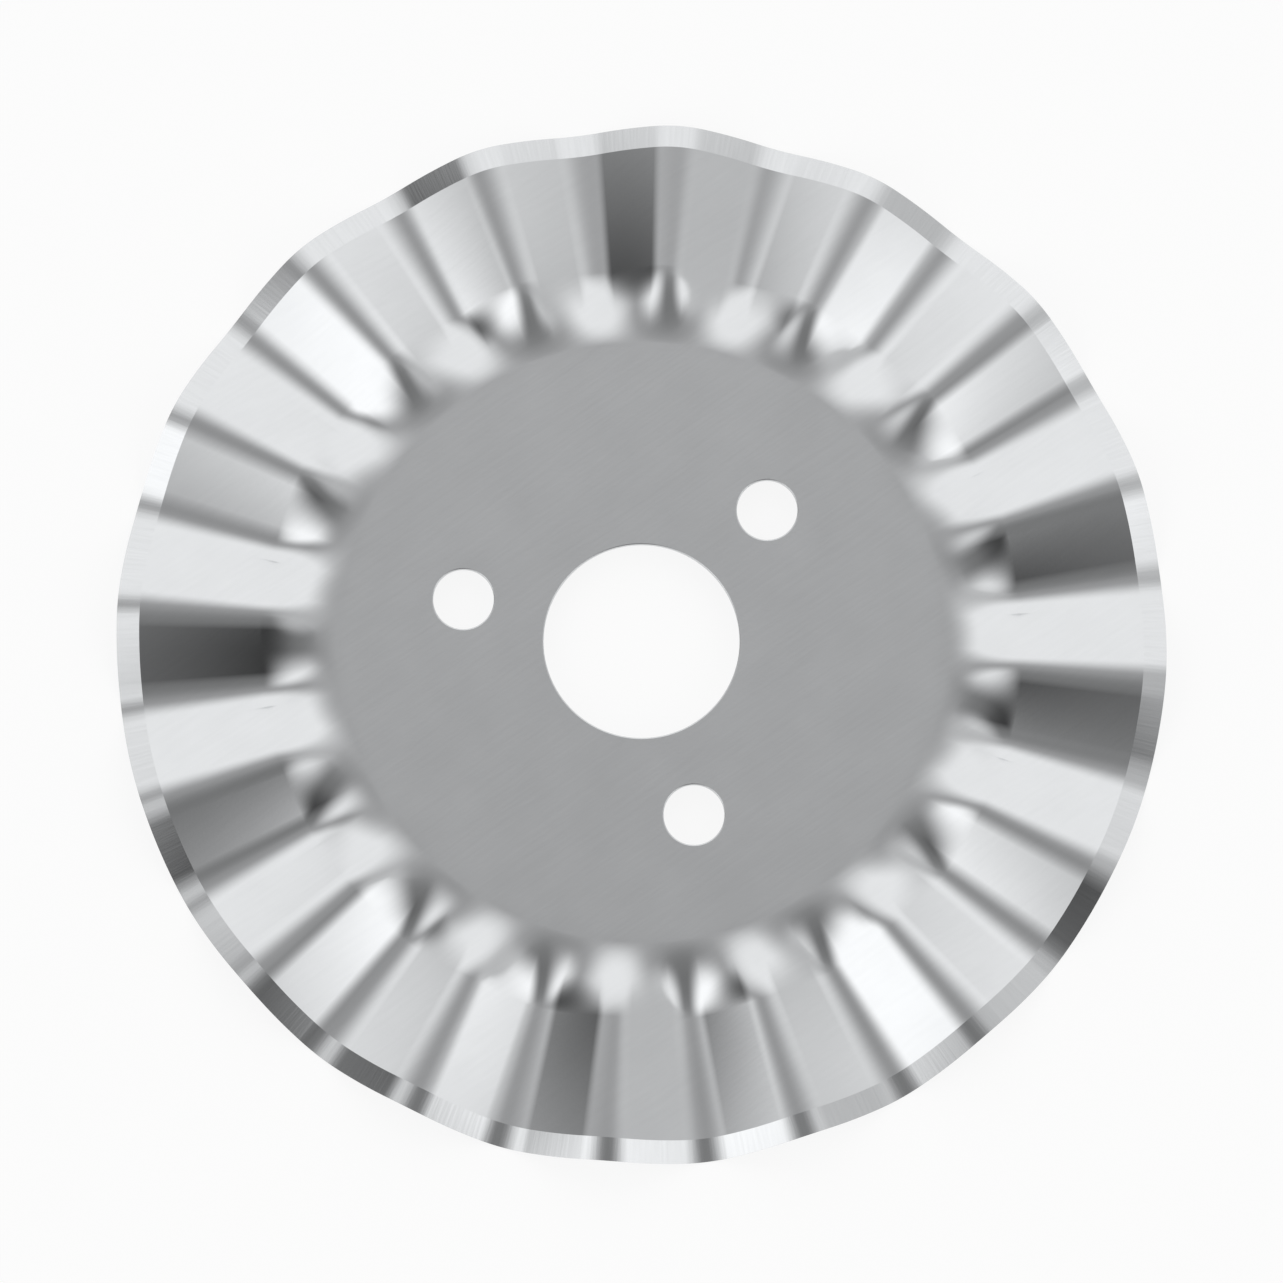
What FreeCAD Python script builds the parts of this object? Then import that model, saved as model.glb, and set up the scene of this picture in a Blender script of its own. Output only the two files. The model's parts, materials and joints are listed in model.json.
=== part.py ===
import FreeCAD, Part
import Sketcher
import math
import os

# Crimped rotary cutter blade: one thin round steel disc, flat in the middle. Its rim is ground to
# an edge and pressed into radial waves with straight flanks and rounded bends. Millimetres.
# The origin is the bore's centre at mid-thickness, and +Z points out of the ground face.

SIZES = [
    ("blade_diameter", "45", "outer diameter, at the cutting edge"),
    ("sheet_thickness", "0.3", "thickness of the steel sheet"),
    ("bore_diameter", "8.4", "centre hole"),
    ("pin_hole_diameter", "2.6", "each of the small holes round the centre"),
    ("pin_circle_diameter", "15.7", "circle through the small holes' centres"),
    ("pin_hole_count", "3", "small holes on the circle"),
    ("first_pin_angle", "46.6", "direction of one small hole, degrees from +X"),
    ("wave_count", "16", "waves round the rim"),
    ("first_crest_angle", "18.4", "direction of one crest, degrees from +X"),
    ("flat_radius", "13", "radius where the flat centre ends"),
    ("runout_length", "3.1", "radial length in which the waves rise from the flat centre"),
    ("inner_fold_length", "0.95", "radial length of the smooth fold where the waves start"),
    ("outer_fold_length", "0.3", "radial length of the smooth fold where they reach full height"),
    ("crest_height", "0.76", "rise of a crest above the flat centre"),
    ("valley_depth", "0.84", "drop of a valley below the flat centre"),
    ("bend_width", "2.1", "width of the rounded bend on a crest or in a valley, at the edge"),
    ("bevel_width", "0.98", "radial width of the ground bevel"),
    ("edge_land", "0.05", "sheet left at the cutting edge"),
]

document = FreeCAD.newDocument("rotary_cutter_blade")

# Driving dimensions

sheet = document.addObject("Spreadsheet::Sheet", "sizes")
for row, (alias, value, meaning) in enumerate(SIZES, start=1):
    sheet.set("A" + str(row), alias)
    sheet.set("B" + str(row), value)
    sheet.set("C" + str(row), meaning)
    sheet.setAlias("B" + str(row), alias)
document.recompute()

# Sizes worked out from them

edge_radius = sheet.blade_diameter / 2
bevel_radius = edge_radius - sheet.bevel_width
rise_radius = sheet.flat_radius + sheet.runout_length
front = sheet.sheet_thickness / 2
back = -sheet.sheet_thickness / 2
edge_front = back + sheet.edge_land
wave_count = int(sheet.wave_count)
half_wave = math.pi / wave_count
half_bend = sheet.bend_width / 2 / edge_radius
half_flank = half_wave / 2 - half_bend
first_crest = math.radians(sheet.first_crest_angle)


def arc_heights():
    """Heights of a crest bend, a falling flank and a valley bend, which join smoothly.

    Each has its start, the crossing of the tangents at its two ends, and its end.
    """
    weight = math.cos(half_bend)
    ratio = math.tan(half_bend) / math.tan(half_flank)
    mean = (sheet.crest_height - sheet.valley_depth) / 2
    swing = (sheet.crest_height + sheet.valley_depth) / 2
    swing = swing * (1 + weight) / (1 + weight + weight * ratio)
    high = mean + swing
    low = mean - swing
    swell = swing * ratio
    return (high, high + swell, high), (high, mean, low), (low, low - swell, low)


def wave_arcs():
    """The bends and the flanks of every wave, in order round the blade.

    Each is (its middle's angle, half its angle, its three heights).
    """
    crest_bend, flank, valley_bend = arc_heights()
    arcs = []
    for wave in range(wave_count):
        crest = first_crest + 2 * half_wave * wave
        arcs.append((crest, half_bend, crest_bend))
        arcs.append((crest + half_wave / 2, half_flank, flank))
        arcs.append((crest + half_wave, half_bend, valley_bend))
        arcs.append((crest + half_wave * 3 / 2, half_flank, flank[::-1]))
    return arcs


ARCS = wave_arcs()


def arc_points(arc, row):
    """The arc's start, tangent crossing and end in one row, given as (radius, share, side).

    The share is the part of the full wave height that the row has.
    """
    middle, half_angle, heights = arc
    radius, share, side = row
    turns = (middle - half_angle, middle, middle + half_angle)
    reaches = (radius, radius / math.cos(half_angle), radius)
    points = []
    for turn, reach, height in zip(turns, reaches, heights):
        across = FreeCAD.Vector(reach * math.cos(turn), reach * math.sin(turn), 0)
        points.append(across + FreeCAD.Vector(0, 0, share * height + side))
    return points


def arc_edge(arc, row):
    """The arc as a curve that lies on a round cylinder."""
    curve = Part.BSplineCurve()
    weights = [1, math.cos(arc[1]), 1]
    curve.buildFromPolesMultsKnots(arc_points(arc, row), [3, 3], [0, 1], False, 2, weights)
    return curve.toShape()


def arc_face(arc, rows):
    """The smooth face that an arc sweeps through its rows, which are control rows of the face."""
    columns = list(zip(*[arc_points(arc, row) for row in rows]))
    weights = [[weight] * len(rows) for weight in (1, math.cos(arc[1]), 1)]
    surface = Part.BSplineSurface()
    surface.buildFromPolesMultsKnots(
        [list(column) for column in columns],
        [3, 3],
        [len(rows), len(rows)],
        [0, 1],
        [0, 1],
        False,
        False,
        2,
        len(rows) - 1,
        weights,
    )
    return surface.toShape()


def halfway(first, second):
    """The row midway between two rows."""
    return tuple((one + other) / 2 for one, other in zip(first, second))


def rise_bands(side):
    """The ring in which the waves rise, as rows of its faces: a fold, a straight slope, a fold."""
    slope = 1 / (sheet.runout_length - (sheet.inner_fold_length + sheet.outer_fold_length) / 2)
    start = (sheet.flat_radius, 0, side)
    inner_crossing = (sheet.flat_radius + sheet.inner_fold_length / 2, 0, side)
    foot = (sheet.flat_radius + sheet.inner_fold_length, sheet.inner_fold_length / 2 * slope, side)
    top = (rise_radius - sheet.outer_fold_length, 1 - sheet.outer_fold_length / 2 * slope, side)
    outer_crossing = (rise_radius - sheet.outer_fold_length / 2, 1, side)
    end = (rise_radius, 1, side)
    middle = halfway(foot, top)
    return [
        [start, inner_crossing, foot],
        [foot, middle],
        [middle, top],
        [top, outer_crossing, end],
    ]


def waved_side(side, outer_radius):
    """One side of the sheet from the axis to a radius, as faces."""
    rise = (rise_radius, 1, side)
    outer = (outer_radius, 1, side)
    middle = halfway(rise, outer)
    bands = rise_bands(side) + [[rise, middle], [middle, outer]]
    faces = [arc_face(arc, band) for band in bands for arc in ARCS]
    centre = Part.Wire([arc_edge(arc, bands[0][0]) for arc in ARCS])
    return faces + [Part.Face(centre)]


def ground_edge():
    """The bevel on the front and the narrow land at the cutting edge, as faces."""
    bevel_start = (bevel_radius, 1, front)
    land_front = (edge_radius, 1, edge_front)
    land_back = (edge_radius, 1, back)
    faces = [arc_face(arc, [bevel_start, land_front]) for arc in ARCS]
    faces += [arc_face(arc, [land_front, land_back]) for arc in ARCS]
    return faces


def pressed_disc():
    """The ground and pressed disc before its holes, as one solid."""
    faces = waved_side(front, bevel_radius) + ground_edge() + waved_side(back, edge_radius)
    skin = Part.makeCompound(faces)
    skin.sewShape()
    return Part.makeSolid(Part.Shell(skin.Faces))


def origin_feature(owner, role):
    """A plane or an axis of a body's own origin."""
    return next(item for item in owner.Origin.OriginFeatures if item.Role == role)


def hole_sketch(owner, name, diameter, across, up):
    """A sketch of one circle on the body's middle plane, with its sizes as expressions."""
    sketch = owner.newObject("Sketcher::SketchObject", name)
    sketch.AttachmentSupport = [(origin_feature(owner, "XY_Plane"), "")]
    sketch.MapMode = "FlatFace"
    circle = Part.Circle(FreeCAD.Vector(1, 1, 0), FreeCAD.Vector(0, 0, 1), 1)
    sketch.addGeometry(circle, False)
    sketch.addConstraint(Sketcher.Constraint("Diameter", 0, 2))
    sketch.setExpression("Constraints[0]", diameter)
    if across is None:
        sketch.addConstraint(Sketcher.Constraint("Coincident", 0, 3, -1, 1))
    else:
        sketch.addConstraint(Sketcher.Constraint("DistanceX", -1, 1, 0, 3, 1))
        sketch.addConstraint(Sketcher.Constraint("DistanceY", -1, 1, 0, 3, 1))
        sketch.setExpression("Constraints[1]", across)
        sketch.setExpression("Constraints[2]", up)
    return sketch


def through_pocket(owner, name, sketch):
    """A hole through the sheet, cut both ways from the sketch."""
    pocket = owner.newObject("PartDesign::Pocket", name)
    pocket.Profile = sketch
    pocket.Type = "ThroughAll"
    pocket.Midplane = True
    return pocket


# The pressed disc

disc = document.addObject("Part::Feature", "pressed_disc")
disc.Shape = pressed_disc()

# The blade: the disc with its holes

blade = document.addObject("PartDesign::Body", "crimped_blade")
blade.Label = "crimped_blade"
blade.BaseFeature = disc
document.recompute()

bore_sketch = hole_sketch(blade, "bore_sketch", "sizes.bore_diameter", None, None)
bore = through_pocket(blade, "bore", bore_sketch)
document.recompute()

pin_sketch = hole_sketch(
    blade,
    "pin_hole_sketch",
    "sizes.pin_hole_diameter",
    "sizes.pin_circle_diameter / 2 * cos(sizes.first_pin_angle * 1 deg)",
    "sizes.pin_circle_diameter / 2 * sin(sizes.first_pin_angle * 1 deg)",
)
pin_hole = through_pocket(blade, "pin_hole", pin_sketch)
document.recompute()

pin_holes = blade.newObject("PartDesign::PolarPattern", "pin_holes")
pin_holes.Originals = [pin_hole]
pin_holes.Axis = (origin_feature(blade, "Z_Axis"), [""])
pin_holes.Angle = 360
pin_holes.setExpression("Occurrences", "sizes.pin_hole_count")
blade.Tip = pin_holes
document.recompute()

# Checks and files

for item in document.Objects:
    if "Invalid" in item.State or "Error" in item.State:
        raise RuntimeError(item.Name + " failed: " + str(item.State))
if blade.Shape.isNull() or not blade.Shape.isValid() or len(blade.Shape.Solids) != 1:
    raise RuntimeError("the blade is not one valid solid")

hole_area = math.pi / 4 * (sheet.bore_diameter ** 2 + sheet.pin_hole_count * sheet.pin_hole_diameter ** 2)
cut_volume = disc.Shape.Volume - blade.Shape.Volume
if abs(cut_volume - hole_area * sheet.sheet_thickness) > 0.001 * cut_volume:
    raise RuntimeError("the holes do not go through the sheet")

os.makedirs("parts", exist_ok=True)
blade.Shape.exportStep("parts/" + blade.Label + ".step")
print("volume", round(blade.Shape.Volume, 3), "box", blade.Shape.BoundBox)
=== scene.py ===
import json
import math

import bpy
import numpy as np
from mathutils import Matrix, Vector
from mathutils.geometry import tessellate_polygon


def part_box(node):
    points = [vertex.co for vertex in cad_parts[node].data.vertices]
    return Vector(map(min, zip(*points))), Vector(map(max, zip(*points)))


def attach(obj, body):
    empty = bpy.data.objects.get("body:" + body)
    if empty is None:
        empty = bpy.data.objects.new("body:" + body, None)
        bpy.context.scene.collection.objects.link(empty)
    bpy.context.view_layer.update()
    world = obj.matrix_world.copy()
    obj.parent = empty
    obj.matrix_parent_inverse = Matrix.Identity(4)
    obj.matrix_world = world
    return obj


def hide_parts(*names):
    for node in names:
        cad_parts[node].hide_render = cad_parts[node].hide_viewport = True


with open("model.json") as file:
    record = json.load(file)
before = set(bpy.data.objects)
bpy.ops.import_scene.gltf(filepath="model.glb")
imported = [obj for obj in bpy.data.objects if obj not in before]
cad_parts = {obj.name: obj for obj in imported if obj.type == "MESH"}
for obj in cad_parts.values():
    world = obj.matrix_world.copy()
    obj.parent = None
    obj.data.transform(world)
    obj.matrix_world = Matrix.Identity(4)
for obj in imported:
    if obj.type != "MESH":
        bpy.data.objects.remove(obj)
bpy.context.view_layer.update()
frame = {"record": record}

# Crimped rotary cutter blade: a thin round steel disc, flat in the middle, with a rim that is
# ground to an edge and pressed into radial waves. Metres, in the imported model's frame.

NODE = "crimped_blade"
PIECE = "crimped_blade_surface"
MM = 0.001

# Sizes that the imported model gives

mounts = {mount["name"]: mount for mount in frame["record"]["mounts"]}
pins = mounts["pin_holes"]["dims"]
node_low, node_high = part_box(NODE)
HALF_SHEET = mounts["front_face"]["pos_m"][2]
BORE_RADIUS = mounts["bore"]["dims"]["r_mm"] * MM
PIN_RADIUS = pins["hole_r_mm"] * MM
PIN_CIRCLE_RADIUS = pins["pcd_mm"] / 2 * MM
PIN_COUNT = pins["count"]

# Sizes of the pressed and ground rim. WAVE_GROWTH is a share of the full wave height per metre.

EDGE_RADIUS = node_high.x
WAVE_COUNT = 16
FIRST_CREST = math.radians(18.4)
FIRST_PIN = math.radians(46.6)
FLAT_RADIUS = 13 * MM
RUNOUT_LENGTH = 3.35 * MM
WAVE_GROWTH = 0.009 / MM
BEND_WIDTH = 2.1 * MM
BEVEL_WIDTH = 0.98 * MM
EDGE_LAND = 0.05 * MM
HOLE_ROUNDING = 0.06 * MM

RISE_RADIUS = FLAT_RADIUS + RUNOUT_LENGTH
BEVEL_RADIUS = EDGE_RADIUS - BEVEL_WIDTH
BEVEL_SLOPE = -(2 * HALF_SHEET - EDGE_LAND) / BEVEL_WIDTH
CREST_HEIGHT = node_high.z - HALF_SHEET
VALLEY_DEPTH = -node_low.z - HALF_SHEET

# How finely the surface is divided

BEND_STEPS = 16
FLANK_STEPS = 8
RUNOUT_STEPS = 24
WAVE_STEPS = 10
BEVEL_STEPS = 3
HOLE_STEPS = 96
ROUNDING_STEPS = 4


def wave_heights():
    """The waves round the rim: angles, heights there and the heights' slopes per radian.

    Bends follow a cosine of the angle and flanks a sine, and they meet without a kink.
    """
    half_wave = math.pi / WAVE_COUNT
    half_bend = BEND_WIDTH / 2 / EDGE_RADIUS
    half_flank = half_wave / 2 - half_bend
    weight = math.cos(half_bend)
    ratio = math.tan(half_bend) / math.tan(half_flank)
    mean = (CREST_HEIGHT - VALLEY_DEPTH) / 2
    swing = (CREST_HEIGHT + VALLEY_DEPTH) / 2
    swing = swing * (1 + weight) / (1 + weight + weight * ratio)
    swell = swing * ratio / (1 / weight - weight)
    fall = swing / math.sin(half_flank)
    crest = (mean + swing - swell * weight, swell, 0)
    valley = (mean - swing + swell * weight, -swell, 0)
    angles, heights, slopes = [], [], []
    for wave in range(WAVE_COUNT):
        middle = FIRST_CREST + 2 * half_wave * wave
        arcs = [
            (middle, half_bend, BEND_STEPS, crest),
            (middle + half_wave / 2, half_flank, FLANK_STEPS, (mean, 0, -fall)),
            (middle + half_wave, half_bend, BEND_STEPS, valley),
            (middle + half_wave * 3 / 2, half_flank, FLANK_STEPS, (mean, 0, fall)),
        ]
        for arc_middle, half_arc, steps, (base, cosine, sine) in arcs:
            turn = np.linspace(-half_arc, half_arc, steps, endpoint=False)
            angles.append(arc_middle + turn)
            heights.append(base + cosine * np.cos(turn) + sine * np.sin(turn))
            slopes.append(sine * np.cos(turn) - cosine * np.sin(turn))
    return np.concatenate(angles), np.concatenate(heights), np.concatenate(slopes)


def wave_share(radius):
    """The part of the full wave height that a radius has, and its slope per metre."""
    along = min((radius - FLAT_RADIUS) / RUNOUT_LENGTH, 1)
    rise = along ** 2 * (3 - 2 * along)
    rise_slope = 6 * along * (1 - along) / RUNOUT_LENGTH
    growth = 1 - WAVE_GROWTH * (EDGE_RADIUS - radius)
    return rise * growth, rise_slope * growth + rise * WAVE_GROWTH


class Surface:
    """Points, faces and the true surface normal at each face's corners."""

    def __init__(self):
        self.points = []
        self.faces = []
        self.normals = []
        self.ground_faces = []

    def ring(self, points):
        start = len(self.points)
        self.points.extend(points)
        return list(range(start, start + len(points)))

    def strip(self, first, second, first_normals, second_normals, flip=False):
        """Faces between two closed rings of points."""
        count = len(first)
        for index in range(count):
            after = (index + 1) % count
            face = [first[index], second[index], second[after], first[after]]
            corners = [
                first_normals[index],
                second_normals[index],
                second_normals[after],
                first_normals[after],
            ]
            if flip:
                face.reverse()
                corners.reverse()
            self.faces.append(face)
            self.normals.extend(corners)

    def plate(self, outline, openings, side):
        """A flat face with openings. Its side is 1 where it faces up and -1 where it faces down."""
        loops = [outline] + openings
        places = [[Vector(self.points[index]) for index in loop] for loop in loops]
        indices = [index for loop in loops for index in loop]
        for triangle in tessellate_polygon(places):
            face = [indices[corner] for corner in triangle]
            a, b, c = (np.array(self.points[index]) for index in face)
            if np.cross(b - a, c - a)[2] * side < 0:
                face.reverse()
            self.faces.append(face)
            self.normals.extend([(0, 0, side)] * len(face))

    def mesh(self, name):
        mesh = bpy.data.meshes.new(name)
        mesh.from_pydata([tuple(point) for point in self.points], [], self.faces)
        mesh.shade_smooth()
        mesh.normals_split_custom_set([tuple(normal) for normal in self.normals])
        for index in self.ground_faces:
            mesh.polygons[index].material_index = 1
        return mesh


def rim(surface):
    """The waved rim, from the flat centre over the edge and back.

    Returns its first and last ring.
    """
    angles, heights, slopes = wave_heights()
    cosines, sines = np.cos(angles), np.sin(angles)
    waves = list(np.linspace(FLAT_RADIUS, RISE_RADIUS, RUNOUT_STEPS + 1))
    waves += list(np.linspace(RISE_RADIUS, BEVEL_RADIUS, WAVE_STEPS + 1))[1:]
    bevel = list(np.linspace(BEVEL_RADIUS, EDGE_RADIUS, BEVEL_STEPS + 1))[1:]
    rows = [(radius, HALF_SHEET) for radius in waves]
    rows += [(radius, HALF_SHEET + BEVEL_SLOPE * (radius - BEVEL_RADIUS)) for radius in bevel]
    rows += [(radius, -HALF_SHEET) for radius in (waves + bevel)[::-1]]
    bevel_start = len(waves) - 1
    land_start = bevel_start + len(bevel)

    def ring(radius, offset):
        height = heights * wave_share(radius)[0] + offset
        return surface.ring(np.stack([radius * cosines, radius * sines, height], axis=1))

    def wave_normals(radius, side, slope):
        share, share_slope = wave_share(radius)
        outward = heights * share_slope + slope
        around = slopes * share / radius
        along_x = outward * cosines - around * sines
        along_y = outward * sines + around * cosines
        normals = np.stack([-along_x, -along_y, np.ones(len(angles))], axis=1) * side
        return normals / np.linalg.norm(normals, axis=1, keepdims=True)

    land_normals = np.stack([cosines, sines, np.zeros(len(angles))], axis=1)
    rings = [ring(*row) for row in rows]
    for index in range(len(rows) - 1):
        after = index + 1
        if index == land_start:
            first = second = land_normals
        else:
            side = 1 if index < land_start else -1
            slope = BEVEL_SLOPE if bevel_start <= index < land_start else 0
            first = wave_normals(rows[index][0], side, slope)
            second = wave_normals(rows[after][0], side, slope)
        face_count = len(surface.faces)
        surface.strip(rings[index], rings[after], first, second)
        if bevel_start <= index <= land_start:
            surface.ground_faces.extend(range(face_count, len(surface.faces)))
    return rings[0], rings[-1]


def hole(surface, centre, radius):
    """A hole's wall with slightly rounded edges. Returns its first and last ring."""
    turns = np.linspace(0, 2 * math.pi, HOLE_STEPS, endpoint=False)
    cosines, sines = np.cos(turns), np.sin(turns)
    rounding = np.linspace(0, math.pi / 2, ROUNDING_STEPS + 1)
    profile = [(turn, 1) for turn in rounding] + [(turn, -1) for turn in rounding[::-1]]
    rings, normals = [], []
    for turn, side in profile:
        reach = radius + HOLE_ROUNDING * (1 - math.sin(turn))
        height = side * (HALF_SHEET - HOLE_ROUNDING * (1 - math.cos(turn)))
        x = centre[0] + reach * cosines
        y = centre[1] + reach * sines
        rings.append(surface.ring(np.stack([x, y, np.full(HOLE_STEPS, height)], axis=1)))
        inward = -math.sin(turn)
        upward = np.full(HOLE_STEPS, side * math.cos(turn))
        normals.append(np.stack([inward * cosines, inward * sines, upward], axis=1))
    for index in range(len(rings) - 1):
        after = index + 1
        surface.strip(rings[index], rings[after], normals[index], normals[after], flip=True)
    return rings[0], rings[-1]


def blade():
    surface = Surface()
    front_outline, back_outline = rim(surface)
    holes = [hole(surface, (0, 0), BORE_RADIUS)]
    for index in range(PIN_COUNT):
        angle = FIRST_PIN + 2 * math.pi * index / PIN_COUNT
        centre = (PIN_CIRCLE_RADIUS * math.cos(angle), PIN_CIRCLE_RADIUS * math.sin(angle))
        holes.append(hole(surface, centre, PIN_RADIUS))
    surface.plate(front_outline, [first for first, last in holes], 1)
    surface.plate(back_outline, [last for first, last in holes], -1)
    return bpy.data.objects.new(PIECE, surface.mesh(PIECE))


# Node trees


class Term:
    """A number in a node tree, so that sums of nodes read as plain sums."""

    def __init__(self, tree, socket):
        self.tree = tree
        self.socket = socket

    def math(self, operation, *others):
        node = self.tree.nodes.new("ShaderNodeMath")
        node.operation = operation
        for entry, value in zip(node.inputs, (self, *others)):
            if isinstance(value, Term):
                self.tree.links.new(value.socket, entry)
            else:
                entry.default_value = value
        return Term(self.tree, node.outputs[0])

    def __add__(self, other):
        return self.math("ADD", other)

    def __sub__(self, other):
        return self.math("SUBTRACT", other)

    def __mul__(self, other):
        return self.math("MULTIPLY", other)

    def __truediv__(self, other):
        return self.math("DIVIDE", other)

    def ramp(self, start, end, low=0.0, high=1.0):
        """Goes smoothly from low at start to high at end."""
        node = self.tree.nodes.new("ShaderNodeMapRange")
        node.interpolation_type = "SMOOTHSTEP"
        self.tree.links.new(self.socket, node.inputs["Value"])
        limits = {"From Min": start, "From Max": end, "To Min": low, "To Max": high}
        for name, value in limits.items():
            node.inputs[name].default_value = value
        return Term(self.tree, node.outputs["Result"])

    def towards(self, target, share):
        """Goes from this number to a target by a share from 0 to 1."""
        return (self * -1 + target) * share + self


def add_node(tree, kind, links=(), **inputs):
    """A new node, with links as (entry, Term or socket) and other entries as plain values."""
    node = tree.nodes.new(kind)
    for name, value in inputs.items():
        node.inputs[name].default_value = value
    for name, source in links:
        tree.links.new(source.socket if isinstance(source, Term) else source, node.inputs[name])
    return node


def split(tree, vector):
    node = add_node(tree, "ShaderNodeSeparateXYZ", [(0, vector)])
    return [Term(tree, output) for output in node.outputs]


def join(tree, x, y, z):
    return add_node(tree, "ShaderNodeCombineXYZ", [(0, x), (1, y), (2, z)]).outputs[0]


def distance(x, y, centre=(0, 0)):
    """How far the place (x, y) is from a centre."""
    across = x - centre[0]
    up = y - centre[1]
    return (across * across + up * up).math("SQRT")


def noise(tree, vector, scale, detail):
    node = add_node(tree, "ShaderNodeTexNoise", [("Vector", vector)], Scale=scale, Detail=detail)
    return Term(tree, node.outputs[0])


# Materials. Noise scales are per millimetre, and the grinding marks' density is per radian.

WHITE = (1, 1, 1, 1)
STEEL_COLOUR = (0.62, 0.63, 0.64, 1)
SATIN_ROUGHNESS = 0.24
PRESSED_ROUGHNESS = 0.08
GROUND_ROUGHNESS = 0.16
ROUGHNESS_SPREAD = 0.06
POLISH_SPAN = (FLAT_RADIUS / MM - 0.6, FLAT_RADIUS / MM + 1.6)
NOISE_MEAN = 0.5

GRAIN_ANGLE = math.radians(35)
GRAIN_DEPTH = 0.0025 * MM
GRAIN_LOST_IN_PRESS = 0.75
LINE_SCALE_ALONG = 0.35
LINE_SCALE_ACROSS = 5
LINE_HEIGHT = 0.7
LINE_TINT = 0.05
SPECK_SCALE = 7
SPECK_HEIGHT = 0.5
BLOTCH_SCALE = 0.35
BLOTCH_TINT = 0.08

MARK_DENSITY = 170
MARK_SCALE_OUTWARD = 0.5
MARK_DEPTH = 0.003 * MM
MARK_TINT = 0.12


def new_material(name, roughness):
    """Plain steel. Returns the material, its shader and the place on the blade in millimetres."""
    material = bpy.data.materials.new(name)
    material.use_nodes = True
    tree = material.node_tree
    shader = tree.nodes["Principled BSDF"]
    shader.inputs["Metallic"].default_value = 1
    shader.inputs["Roughness"].default_value = roughness
    shader.inputs["Base Color"].default_value = STEEL_COLOUR
    place = split(tree, tree.nodes.new("ShaderNodeTexCoord").outputs["Object"])
    return material, shader, [part / MM for part in place]


def add_bump(tree, shader, height, depth):
    bump = add_node(tree, "ShaderNodeBump", [("Height", height)], Distance=depth, Strength=1)
    tree.links.new(bump.outputs[0], shader.inputs["Normal"])


def tint(tree, shader, shade):
    """Steel that is a little lighter and darker in places."""
    node = tree.nodes.new("ShaderNodeVectorMath")
    node.operation = "SCALE"
    node.inputs[0].default_value = STEEL_COLOUR[:3]
    tree.links.new(shade.socket, node.inputs["Scale"])
    tree.links.new(node.outputs[0], shader.inputs["Base Color"])


def sheet_steel():
    """Rolled sheet: a satin flat centre with a faint grain, and a rim polished by the press."""
    material, shader, (x, y, z) = new_material("sheet_steel", SATIN_ROUGHNESS)
    tree = material.node_tree
    pressed = distance(x, y).ramp(*POLISH_SPAN)
    along = x * math.cos(GRAIN_ANGLE) + y * math.sin(GRAIN_ANGLE)
    across = y * math.cos(GRAIN_ANGLE) - x * math.sin(GRAIN_ANGLE)
    line_place = join(tree, along * LINE_SCALE_ALONG, across * LINE_SCALE_ACROSS, z)
    lines = noise(tree, line_place, scale=1, detail=3)
    specks = noise(tree, join(tree, x, y, z), SPECK_SCALE, detail=2)
    blotches = noise(tree, join(tree, x, y, z), BLOTCH_SCALE, detail=3)
    grain = lines * LINE_HEIGHT + specks * SPECK_HEIGHT
    add_bump(tree, shader, grain * (pressed * -GRAIN_LOST_IN_PRESS + 1), GRAIN_DEPTH)
    rough = (blotches - NOISE_MEAN) * ROUGHNESS_SPREAD + SATIN_ROUGHNESS
    rough = rough.towards(PRESSED_ROUGHNESS, pressed)
    tree.links.new(rough.socket, shader.inputs["Roughness"])
    shade = (blotches - NOISE_MEAN) * BLOTCH_TINT + (lines - NOISE_MEAN) * LINE_TINT + 1
    tint(tree, shader, shade)
    return material


def ground_steel():
    """The bevel, with fine grinding marks that run outwards to the edge."""
    material, shader, place = new_material("ground_steel", GROUND_ROUGHNESS)
    tree = material.node_tree
    x, y = place[:2]
    radius = distance(x, y)
    turn_x, turn_y = x / radius * MARK_DENSITY, y / radius * MARK_DENSITY
    mark_place = join(tree, turn_x, turn_y, radius * MARK_SCALE_OUTWARD)
    marks = noise(tree, mark_place, scale=1, detail=2)
    add_bump(tree, shader, marks, MARK_DEPTH)
    tint(tree, shader, (marks - NOISE_MEAN) * MARK_TINT + 1)
    return material


# Studio: a pale room with a broad light behind the blade, one on each side and a dark front.
# Places are on studio_world's map. A span goes from where a field begins to where it is full.

BACK_LIGHT = 1.23
BACK_SPAN = (0.04, 0.39)
BACK_CORNER_LIGHT = 0.4
BACK_CORNER_SPAN = (0.24, 0.93)
SIDE_LIGHT = 1.55
LEFT_SPANS = ((0, -0.44), (0.11, -0.19))
RIGHT_SPANS = ((0.09, 0.49), (0.29, -0.33))
GAP_LIGHT = 0.6
GAP_SPAN = (-0.3, 0.3)
RIGHT_GAP_LIGHT = 0.73
RIGHT_GAP_SPANS = ((-0.07, 0.68), (-0.1, -0.03))
LOW_FRONT_LIGHT = 0.02
FRONT_LIGHT = 0.265
FRONT_SPAN = (-0.62, -0.24)
SHADE_LIGHT = 0.11
SHADE_CENTRE = (-0.65, 0.1)
SHADE_SPAN = (0.34, 0)
ROOM_LIGHT = 0.6
ROOM_CENTRE = (0, 0.15)
ROOM_SPAN = (0.75, 0.95)
LOWEST_ON_MAP = -0.5

FLOOR_GLOW = 0.85
FLOOR_ROUGHNESS = 0.9
FLOOR_SIZE = 4


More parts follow.
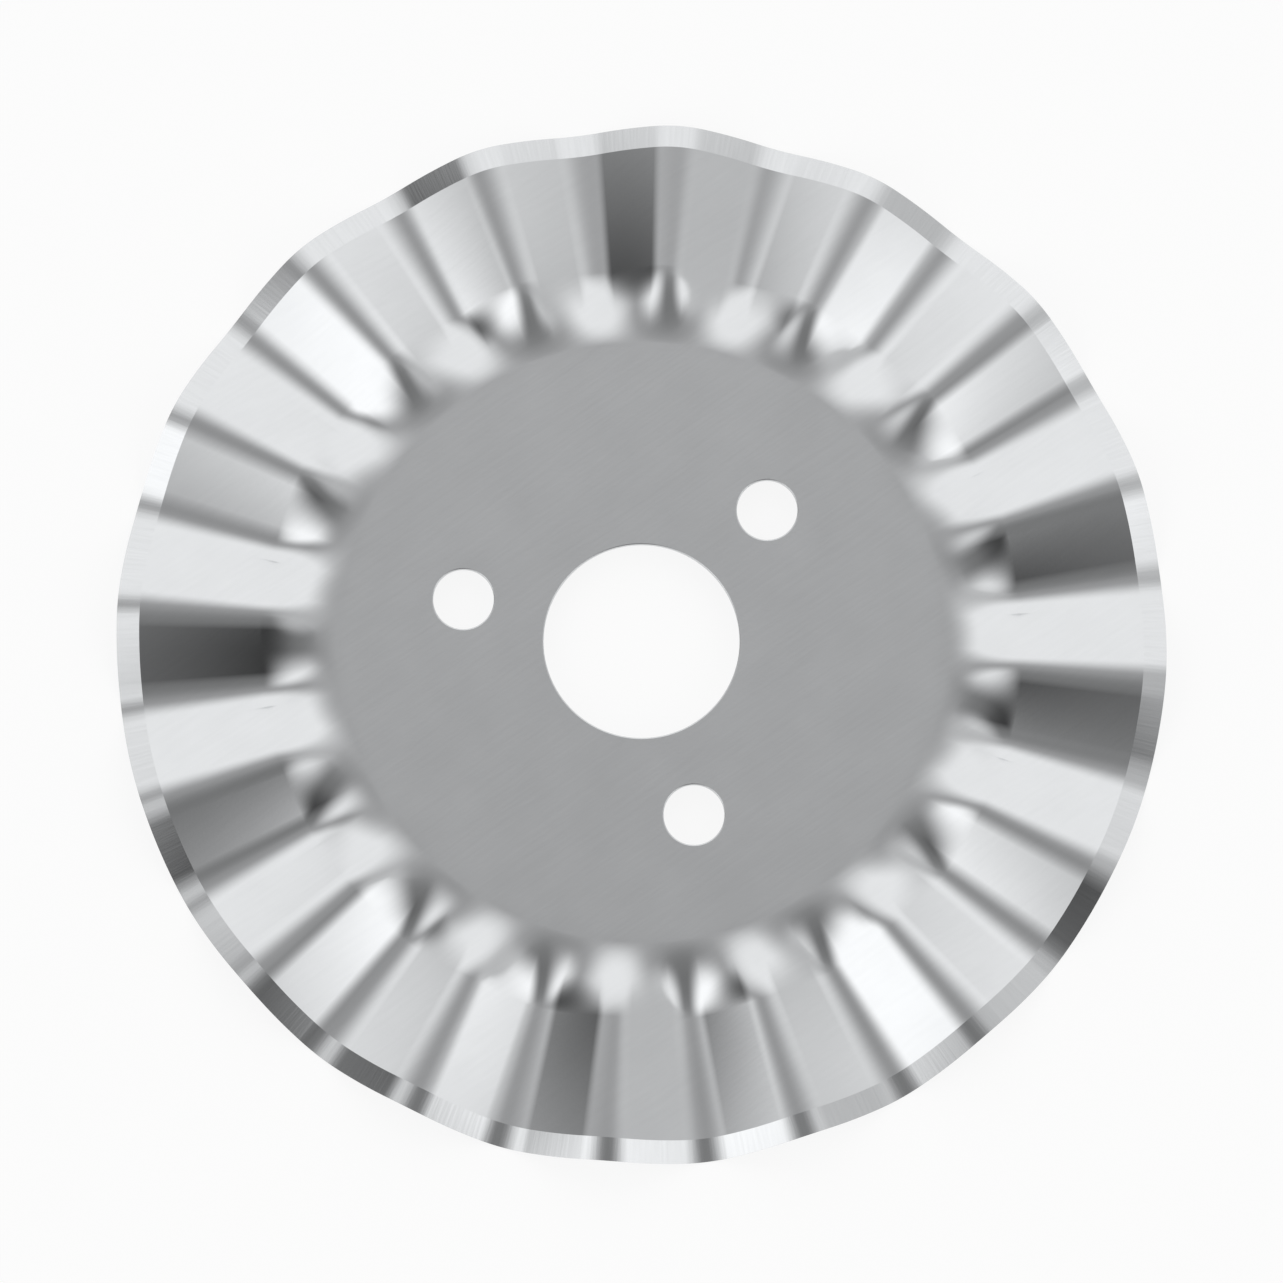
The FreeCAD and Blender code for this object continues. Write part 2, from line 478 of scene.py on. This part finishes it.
def studio_world():
    """Light by direction, on the map that (x, y) / (1 + z) gives: 0 is overhead, 1 the horizon."""
    world = bpy.data.worlds.new("studio")
    world.use_nodes = True
    bpy.context.scene.world = world
    tree = world.node_tree
    direction = tree.nodes.new("ShaderNodeTexCoord").outputs["Generated"]
    x, y, z = split(tree, direction)
    height = z.math("MAXIMUM", LOWEST_ON_MAP) + 1
    x = x / height
    y = y / height
    light = y.ramp(*FRONT_SPAN, LOW_FRONT_LIGHT, FRONT_LIGHT)
    light = light.towards(GAP_LIGHT, y.ramp(*GAP_SPAN))
    fields = [
        (SIDE_LIGHT, LEFT_SPANS),
        (SIDE_LIGHT, RIGHT_SPANS),
        (RIGHT_GAP_LIGHT, RIGHT_GAP_SPANS),
    ]
    for field_light, (x_span, y_span) in fields:
        light = light.towards(field_light, x.ramp(*x_span) * y.ramp(*y_span))
    back = x.math("ABSOLUTE").ramp(*BACK_CORNER_SPAN, BACK_LIGHT, BACK_CORNER_LIGHT)
    light = light.towards(back, y.ramp(*BACK_SPAN))
    light = light.towards(SHADE_LIGHT, distance(x, y, SHADE_CENTRE).ramp(*SHADE_SPAN))
    light = light.towards(ROOM_LIGHT, distance(x, y, ROOM_CENTRE).ramp(*ROOM_SPAN))
    tree.links.new(light.socket, tree.nodes["Background"].inputs["Strength"])
    tree.nodes["Background"].inputs["Color"].default_value = WHITE


def floor_material():
    """A white table that shows as almost plain white, with a faint shadow."""
    material = bpy.data.materials.new("white_table")
    material.use_nodes = True
    tree = material.node_tree
    shader = tree.nodes["Principled BSDF"]
    shader.inputs["Base Color"].default_value = WHITE
    shader.inputs["Roughness"].default_value = FLOOR_ROUGHNESS
    shader.inputs["Specular IOR Level"].default_value = 0
    rays = tree.nodes.new("ShaderNodeLightPath")
    seen = Term(tree, rays.outputs["Is Camera Ray"])
    for name in ("Is Glossy Ray", "Is Transmission Ray"):
        seen = seen.math("MAXIMUM", Term(tree, rays.outputs[name]))
    glow = add_node(tree, "ShaderNodeEmission", Color=WHITE, Strength=1)
    mix = add_node(tree, "ShaderNodeMixShader", [(0, seen * FLOOR_GLOW)])
    tree.links.new(shader.outputs[0], mix.inputs[1])
    tree.links.new(glow.outputs[0], mix.inputs[2])
    tree.links.new(mix.outputs[0], tree.nodes["Material Output"].inputs["Surface"])
    return material


def floor():
    half = FLOOR_SIZE / 2
    corners = [(-half, -half), (half, -half), (half, half), (-half, half)]
    mesh = bpy.data.meshes.new("floor")
    mesh.from_pydata([(x, y, node_low.z) for x, y in corners], [], [(0, 1, 2, 3)])
    mesh.materials.append(floor_material())
    thing = bpy.data.objects.new("floor", mesh)
    bpy.context.scene.collection.objects.link(thing)


# Camera: nearly overhead, leaning to the near side

CAMERA_TILT = math.radians(9.3)
CAMERA_DISTANCE = 0.45
FRAME_WIDTH = 55 * MM
SENSOR_WIDTH = 36


def camera():
    data = bpy.data.cameras.new("camera")
    data.sensor_width = SENSOR_WIDTH
    data.lens = SENSOR_WIDTH * CAMERA_DISTANCE / FRAME_WIDTH
    near = CAMERA_DISTANCE * math.sin(CAMERA_TILT)
    height = CAMERA_DISTANCE * math.cos(CAMERA_TILT)
    thing = bpy.data.objects.new("camera", data)
    thing.location = (0, -near, height)
    thing.rotation_euler = (CAMERA_TILT, 0, 0)
    bpy.context.scene.collection.objects.link(thing)
    bpy.context.scene.camera = thing


bpy.context.scene.view_settings.view_transform = "Standard"
studio_world()
floor()
camera()

piece = blade()
bpy.context.scene.collection.objects.link(piece)
for finish in (sheet_steel(), ground_steel()):
    piece.data.materials.append(finish)
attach(piece, "root")
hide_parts(NODE)
